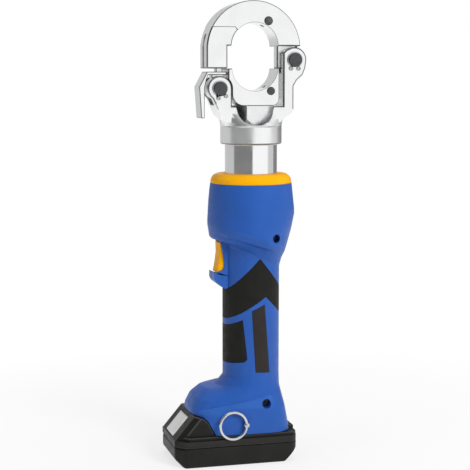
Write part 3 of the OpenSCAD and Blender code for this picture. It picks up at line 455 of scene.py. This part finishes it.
def combined(mesh, operation, tool):
    """The mesh joined with, cut by or kept within a second solid."""
    base = placed("base", mesh)
    other = placed("tool", tool)
    step = base.modifiers.new("step", "BOOLEAN")
    step.operation = operation
    step.object = other
    step.solver = "EXACT"
    result = bpy.data.meshes.new_from_object(base.evaluated_get(bpy.context.evaluated_depsgraph_get()))
    bpy.data.objects.remove(base)
    bpy.data.objects.remove(other)
    return result


def shouldered_fork():
    """The fork within the dip's outline, joined with a shoulder that the ram's throat runs through."""
    sunk = [(rise, x - SHOULDER_SUNK, y - SHOULDER_SUNK, square) for rise, x, y, square in SHOULDER]
    shoulder = loft("shoulder", [*SHOULDER_ROOT, *sunk])
    throat = loft("throat", THROAT)
    dip = loft("dip", DIP)
    kept = combined(nodes["fork"].data.copy(), "INTERSECT", dip)
    return combined(kept, "UNION", combined(shoulder, "DIFFERENCE", throat))


# The trigger's foot, which reaches down to just above the guard; places and sizes in metres
TRIGGER_FOOT_TOP = 0.176
TRIGGER_FOOT_REAR = -0.032
TRIGGER_FOOT_DROP = 0.0024


def lowered_trigger():
    mesh = nodes["trigger"].data.copy()
    for vert in mesh.vertices:
        if vert.co.z < TRIGGER_FOOT_TOP and vert.co.x < TRIGGER_FOOT_REAR:
            vert.co.z -= TRIGGER_FOOT_DROP
    return mesh


# Creases of the moulded housing, as lines on its side: start and end by length and height
SHOULDER_CREASE = ((-36.3, 210.6), (13.5, 194.3))
FOOT_CREASE = ((-36.9, 52.1), (8.0, 60.0))
FOOT_CHEEK = ((-55.0, 50.0), (-30.0, 66.2))

# The shoulder swells from its upper end down to its crest, and falls away over an undercut
SHOULDER_PROUD = 1.7
SHOULDER_UPPER_END = 18
SHOULDER_CREST = 0.3
SHOULDER_UNDERCUT = -2.4
SHOULDER_FRONT = (-38, -28)
SHOULDER_REAR = (20, 6)

# The foot's hollow has short walls at its two creases, and fades out upwards and to the rear
FOOT_DEPTH = 1.2
FOOT_WALL = 1.6
FOOT_UPPER_END = 20
FOOT_REAR = (24, 8)


def ramp(value, low, high):
    """From 0 at low to 1 at high, level beyond them."""
    return min(max((value - low) / (high - low), 0.0), 1.0)


def beside(line, x, z):
    """How far a place lies from a line, counted upwards."""
    (x0, z0), (x1, z1) = line
    return ((x1 - x0) * (z - z0) - (z1 - z0) * (x - x0)) / math.hypot(x1 - x0, z1 - z0)


def shoulder_swell(x, z):
    """The shoulder stands out more and more down to its crease, and turns in sharply below it."""
    up = beside(SHOULDER_CREASE, x, z)
    profile = ramp(up, SHOULDER_UPPER_END, SHOULDER_CREST) - ramp(up, 0, SHOULDER_UNDERCUT)
    return SHOULDER_PROUD * profile * ramp(x, *SHOULDER_FRONT) * ramp(x, *SHOULDER_REAR)


def foot_swell(x, z):
    """A shallow hollow between the foot's side panel and its front cheek."""
    up = beside(FOOT_CREASE, x, z)
    back = -beside(FOOT_CHEEK, x, z)
    walls = ramp(up, 0, FOOT_WALL) * ramp(back, 0, FOOT_WALL)
    return -FOOT_DEPTH * walls * ramp(up, FOOT_UPPER_END, FOOT_WALL) * ramp(x, *FOOT_REAR)


def cuts_beside(line, steps):
    """Places and directions of cuts along a line, at the given distances beside it."""
    (x0, z0), (x1, z1) = line
    size = math.hypot(x1 - x0, z1 - z0)
    way = (-(z1 - z0) / size, (x1 - x0) / size)
    return [((x0 + way[0] * t, z0 + way[1] * t), way) for t in steps]


def upright_cuts(lengths):
    return [((x, 0.0), (1.0, 0.0)) for x in lengths]


SHOULDER_CUTS = (
    cuts_beside(SHOULDER_CREASE, (SHOULDER_UPPER_END, 14, 10, 6.5, 3, SHOULDER_CREST))
    + cuts_beside(SHOULDER_CREASE, (0, -1.2, SHOULDER_UNDERCUT))
    + upright_cuts((-38, -34, -31, -28, -20, -13, -6, 0, 6, 10, 15, 20))
)
FOOT_CUTS = (
    cuts_beside(FOOT_CREASE, (0, 0.8, FOOT_WALL, 4, 7, 10, 13, 16.5, FOOT_UPPER_END))
    + cuts_beside(FOOT_CHEEK, (0, -0.8, -FOOT_WALL, -5, -10))
    + upright_cuts((-45, -38, -30, -22, -14, -6, 2, 8, 13, 18, 24))
)

# Each moulded form: the heights that it lies between, its swell and the cuts that divide the skin for it
SHOULDER_HEIGHTS = (178.0, 226.0)
FOOT_HEIGHTS = (44.0, 84.0)
MOULDED = (
    (SHOULDER_HEIGHTS, shoulder_swell, SHOULDER_CUTS),
    (FOOT_HEIGHTS, foot_swell, FOOT_CUTS),
)
SKIN_TILT = 0.2
SKIN_LEAST_Y = 0.012
CUT_TOLERANCE = 0.000002
SLIVER = 0.0003


def skin(work, side, heights):
    """The faces of a shell's outer skin that lie between two heights."""
    found = []
    for face in work.faces:
        middle = face.calc_center_median()
        outer = face.normal.y * side > SKIN_TILT and middle.y * side > SKIN_LEAST_Y
        if outer and heights[0] < middle.z * MM_PER_M < heights[1]:
            found.append(face)
    return found


def creased(node, side):
    """A copy of a housing shell, with the creases of its shoulder and foot pressed into its outer skin."""
    work = welded(nodes[node].data)
    for heights, swell, cuts in MOULDED:
        for (x, z), (along, up) in cuts:
            faces = skin(work, side, heights)
            edges = dict.fromkeys(edge for face in faces for edge in face.edges)
            verts = dict.fromkeys(vert for face in faces for vert in face.verts)
            bmesh.ops.bisect_plane(work, geom=[*faces, *edges, *verts], dist=CUT_TOLERANCE,
                                   plane_co=(x / MM_PER_M, 0, z / MM_PER_M), plane_no=(along, 0, up))
        work.normal_update()
        verts = dict.fromkeys(vert for face in skin(work, side, heights) for vert in face.verts)
        moves = [(v, v.normal * swell(v.co.x * MM_PER_M, v.co.z * MM_PER_M) / MM_PER_M) for v in verts]
        for vert, move in moves:
            vert.co += move
        moved = [vert for vert, move in moves if move.length > 0]
        bmesh.ops.remove_doubles(work, verts=moved, dist=SLIVER)
        bmesh.ops.triangulate(work, faces=skin(work, side, heights))
    mesh = nodes[node].data.copy()
    work.to_mesh(mesh)
    work.free()
    return mesh


# The strap ring's wire and its bead, which are stouter than those of the solids
RING_GROWTH = 1.035
WIRE_GROWTH = 1.3
BEAD_GROWTH = 1.12
BEAD_MARGIN = 1.01


def centre_of(node):
    corners = [Vector(vert.co) for vert in nodes[node].data.vertices]
    return Vector([(min(c[i] for c in corners) + max(c[i] for c in corners)) / 2 for i in range(3)])


def stout_ring():
    """The ring grows away from the bead that it hangs in, and its wire grows about its core."""
    mesh = nodes["strap_ring"].data.copy()
    middle = centre_of("strap_ring")
    half = max(vert.co.x for vert in mesh.vertices) - middle.x
    wire = max(vert.co.y for vert in mesh.vertices) - middle.y
    bead = middle + Vector((half - wire, 0, 0))
    for vert in mesh.vertices:
        way = vert.co - middle
        core = middle + Vector((way.x, 0, way.z)).normalized() * (half - wire)
        grown = bead + (core - bead) * RING_GROWTH
        vert.co = grown + (vert.co - core) * WIRE_GROWTH
    return mesh


def stout_bead():
    """The ball at the boss's outer end grows about its centre."""
    mesh = nodes["strap_boss"].data.copy()
    centre = centre_of("strap_boss")
    ball = max(vert.co.z for vert in mesh.vertices) - centre.z
    front = min(vert.co.y for vert in mesh.vertices)
    middle = Vector((centre.x, front + ball, centre.z))
    for vert in mesh.vertices:
        if (vert.co - middle).length < ball * BEAD_MARGIN:
            vert.co = middle + (vert.co - middle) * BEAD_GROWTH
    return mesh


# The pieces that need more than plain softening; widths in metres
HOUSING_DEGREES = 30
RING_DEGREES = 60
LID_STEPS = (0.0185, 0.0262)

# The fork, the jaw, the die holder and the latch carry the painted edge shade on their softened edges
refined("fork", width=0.0013, source=shouldered_fork(), rim="painted_edge_shade",
        plain=FORK_FLARE, cut=FORK_FLARE[1])
refined("upper_jaw", width=0.0012, rim="painted_edge_shade")
refined("die_holder", width=0.0009, rim="painted_edge_shade")
refined("latch", width=0.0007, rim="painted_edge_shade")
refined("trigger", width=0.0012, segments=3, source=lowered_trigger())
refined("housing_right", width=0.0004, degrees=HOUSING_DEGREES, source=creased("housing_right", -1))
refined("housing_left", width=0.0004, degrees=HOUSING_DEGREES, source=creased("housing_left", 1))
refined("strap_ring", width=0.0002, degrees=RING_DEGREES, source=stout_ring())
refined("strap_boss", width=0.0003, source=stout_bead())
refined("battery_tray", width=0.0018, segments=4)
# The lid's softened edges carry the painted highlight
refined("battery_lid", width=0.0009, segments=3, rim="painted_highlight_black", plain=LID_STEPS)

# The other visible pieces, with the widths of their softened edges in metres
EDGE_WIDTHS = {
    "hinge_pin": 0.0005,
    "latch_pin": 0.0005,
    "upper_die_pin": 0.0004,
    "lower_die_pin": 0.0004,
    "ram": 0.0004,
    "circlips": 0.0002,
    "cylinder": 0.0004,
    "neck_ring": 0.0005,
    "handle_grip": 0.0005,
    "front_grip": 0.0005,
    "label_plate": 0.0002,
    "housing_screws": 0.0003,
}
for node, width in EDGE_WIDTHS.items():
    refined(node, width)
refined("battery_button", width=0.0008, segments=3)


# The return spring, as a copy of its solid that keeps its shape; in the tool the ram's stroke closes it up
# against the gland
spring = placed("return_spring_coil", nodes["return_spring"].data.copy())
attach(spring, body_of["return_spring"])
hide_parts("return_spring")
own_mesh(spring)


# Cheeks of the housing beside the trigger, from the shelf above it down to the guard, by length and height
CHEEK = (
    (-31.7, 203), (-30.5, 197.5), (-29.4, 192), (-28.4, 186.5), (-27.7, 181), (-27.6, 178), (-28.3, 175.4),
    (-30.2, 174), (-33.5, 173.6), (-33.5, 172.2), (-27.5, 170.3), (-22.4, 169), (-18, 169), (-18, 203),
)
CHEEK_INNER = 8.4
CHEEK_OUTER = 9.9
CHEEK_EDGE = 0.0008
CHEEK_SEGMENTS = 3


def cheek(name, side):
    layers = (side * CHEEK_INNER, side * CHEEK_OUTER)
    points = [(x / MM_PER_M, y / MM_PER_M, z / MM_PER_M) for y in layers for x, z in CHEEK]
    count = len(CHEEK)
    faces = [tuple(range(count)), tuple(reversed(range(count, 2 * count)))]
    faces += [(i, i + count, (i + 1) % count + count, (i + 1) % count) for i in range(count)]
    mesh = bpy.data.meshes.new(name)
    mesh.from_pydata(points, [], faces)
    work = bmesh.new()
    work.from_mesh(mesh)
    bmesh.ops.recalc_face_normals(work, faces=work.faces)
    work.to_mesh(mesh)
    work.free()
    smooth_up_to(mesh, SHARP_DEGREES)
    mesh.materials.append(looks["blue_plastic"])
    piece = placed(name, mesh)
    soften = piece.modifiers.new("soft_edges", "BEVEL")
    soften.width = CHEEK_EDGE
    soften.segments = CHEEK_SEGMENTS
    soften.harden_normals = True
    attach(piece, body_of["housing_right"])


cheek("trigger_cheek_right", -1)
cheek("trigger_cheek_left", 1)


# Studio: pale floor, white surroundings and soft lamps
WHITE = (1, 1, 1, 1)
BLACK = (0, 0, 0, 1)
SURROUNDINGS_LIGHT = 0.32
FLOOR_COLOUR = (0.86, 0.86, 0.86, 1)
FLOOR_ROUGHNESS = 0.9
FLOOR_REACH = 30.0

# Near the tool the floor takes its shadow, and further out it is as white as the surroundings
SHADOW_NEAR = 0.12
SHADOW_FAR = 0.5
SHADOW_WHITE_SHARE = 0.72


def calculation(tree, operation):
    step = tree.nodes.new("ShaderNodeMath")
    step.operation = operation
    return step


def white_to_the_eye(tree, share):
    """Share of a bright shader for the rays of the camera, of gloss and through glass, and of no others."""
    path = tree.nodes.new("ShaderNodeLightPath")
    seen = calculation(tree, "MAXIMUM")
    link(tree, path.outputs["Is Camera Ray"], seen.inputs[0])
    link(tree, path.outputs["Is Glossy Ray"], seen.inputs[1])
    shown = calculation(tree, "MAXIMUM")
    link(tree, seen.outputs[0], shown.inputs[0])
    link(tree, path.outputs["Is Transmission Ray"], shown.inputs[1])
    scaled = calculation(tree, "MULTIPLY")
    link(tree, shown.outputs[0], scaled.inputs[0])
    if isinstance(share, float):
        scaled.inputs[1].default_value = share
    else:
        link(tree, share, scaled.inputs[1])
    return scaled.outputs[0]


def mixed(tree, factor, first, second):
    """From the first shader to the second."""
    mix = tree.nodes.new("ShaderNodeMixShader")
    link(tree, factor, mix.inputs["Fac"])
    link(tree, first.outputs[0], mix.inputs[1])
    link(tree, second.outputs[0], mix.inputs[2])
    return mix.outputs[0]


def white_surroundings():
    world = bpy.data.worlds.new("studio")
    world.use_nodes = True
    tree = world.node_tree
    dim = tree.nodes["Background"]
    dim.inputs["Color"].default_value = WHITE
    dim.inputs["Strength"].default_value = SURROUNDINGS_LIGHT
    bright = tree.nodes.new("ShaderNodeBackground")
    bright.inputs["Color"].default_value = WHITE
    bright.inputs["Strength"].default_value = 1.0
    surface = mixed(tree, white_to_the_eye(tree, 1.0), dim, bright)
    link(tree, surface, tree.nodes["World Output"].inputs["Surface"])
    return world


def floor_look():
    material = bpy.data.materials.new("pale_floor")
    material.use_nodes = True
    tree = material.node_tree
    shader = tree.nodes["Principled BSDF"]
    shader.inputs["Base Color"].default_value = FLOOR_COLOUR
    shader.inputs["Roughness"].default_value = FLOOR_ROUGHNESS
    glow = tree.nodes.new("ShaderNodeEmission")
    away = tree.nodes.new("ShaderNodeVectorMath")
    away.operation = "LENGTH"
    link(tree, tree.nodes.new("ShaderNodeTexCoord").outputs["Object"], away.inputs[0])
    share = spread(tree, away.outputs["Value"], SHADOW_WHITE_SHARE, 1.0, SHADOW_NEAR, SHADOW_FAR)
    surface = mixed(tree, white_to_the_eye(tree, share), shader, glow)
    link(tree, surface, tree.nodes["Material Output"].inputs["Surface"])
    return material


scene.world = white_surroundings()
corners = [(x * FLOOR_REACH, y * FLOOR_REACH, 0) for x, y in ((-1, -1), (1, -1), (1, 1), (-1, 1))]
floor_mesh = bpy.data.meshes.new("floor")
floor_mesh.from_pydata(corners, [], [(0, 1, 2, 3)])
floor_mesh.materials.append(floor_look())
floor = placed("floor", floor_mesh)


# Grey studio cards that only the gloss of the metal and the plastic shows
def card_look(name, grey):
    material = bpy.data.materials.new(name)
    material.use_nodes = True
    shader = material.node_tree.nodes["Principled BSDF"]
    shader.inputs["Base Color"].default_value = BLACK
    shader.inputs["Specular IOR Level"].default_value = 0
    shader.inputs["Emission Color"].default_value = (grey, grey, grey, 1)
    shader.inputs["Emission Strength"].default_value = 1
    return material


def card(name, first, last, grey, radius=1.6, low=-0.2, high=2.0, steps=16):
    """A stretch of an upright cylinder around the tool, between two angles in degrees and two heights."""
    turns = [math.radians(first + (last - first) * i / steps) for i in range(steps + 1)]
    points = [(radius * math.cos(turn), radius * math.sin(turn), z) for turn in turns for z in (low, high)]
    faces = [(2 * i, 2 * i + 2, 2 * i + 3, 2 * i + 1) for i in range(steps)]
    mesh = bpy.data.meshes.new(name)
    mesh.from_pydata(points, [], faces)
    mesh.materials.append(card_look(name, grey))
    screen = placed(name, mesh)
    screen.visible_camera = False
    screen.visible_diffuse = False
    screen.visible_shadow = False
    screen.visible_transmission = False


card("card_front_left", -185, -98, grey=0.2)
card("card_above", 0, 360, grey=0.3, radius=1.5, low=1.4, high=2.2, steps=48)
card("card_back_left", 82, 125, grey=0.58)
card("card_left", 125, 175, grey=0.55)
card("card_right", -25, 12, grey=0.62)
card("card_back_right", 12, 72, grey=0.22)


# Soft lamps, all aimed at the handle
LAMP_AIM = Vector((0, 0, 0.2))


def lamp(name, place, width, height, power):
    light = bpy.data.lights.new(name, "AREA")
    light.shape = "RECTANGLE"
    light.size = width
    light.size_y = height
    light.energy = power
    holder = placed(name, light)
    holder.location = place
    holder.rotation_euler = (LAMP_AIM - Vector(place)).to_track_quat("-Z", "Y").to_euler()
    holder.visible_glossy = False


lamp("key", (0.7, -1.4, 1.1), width=0.6, height=0.8, power=22)
lamp("left", (-1.4, -0.5, 0.7), width=0.5, height=1.0, power=3)
lamp("top", (0.1, 0.2, 1.7), width=0.9, height=0.9, power=10)
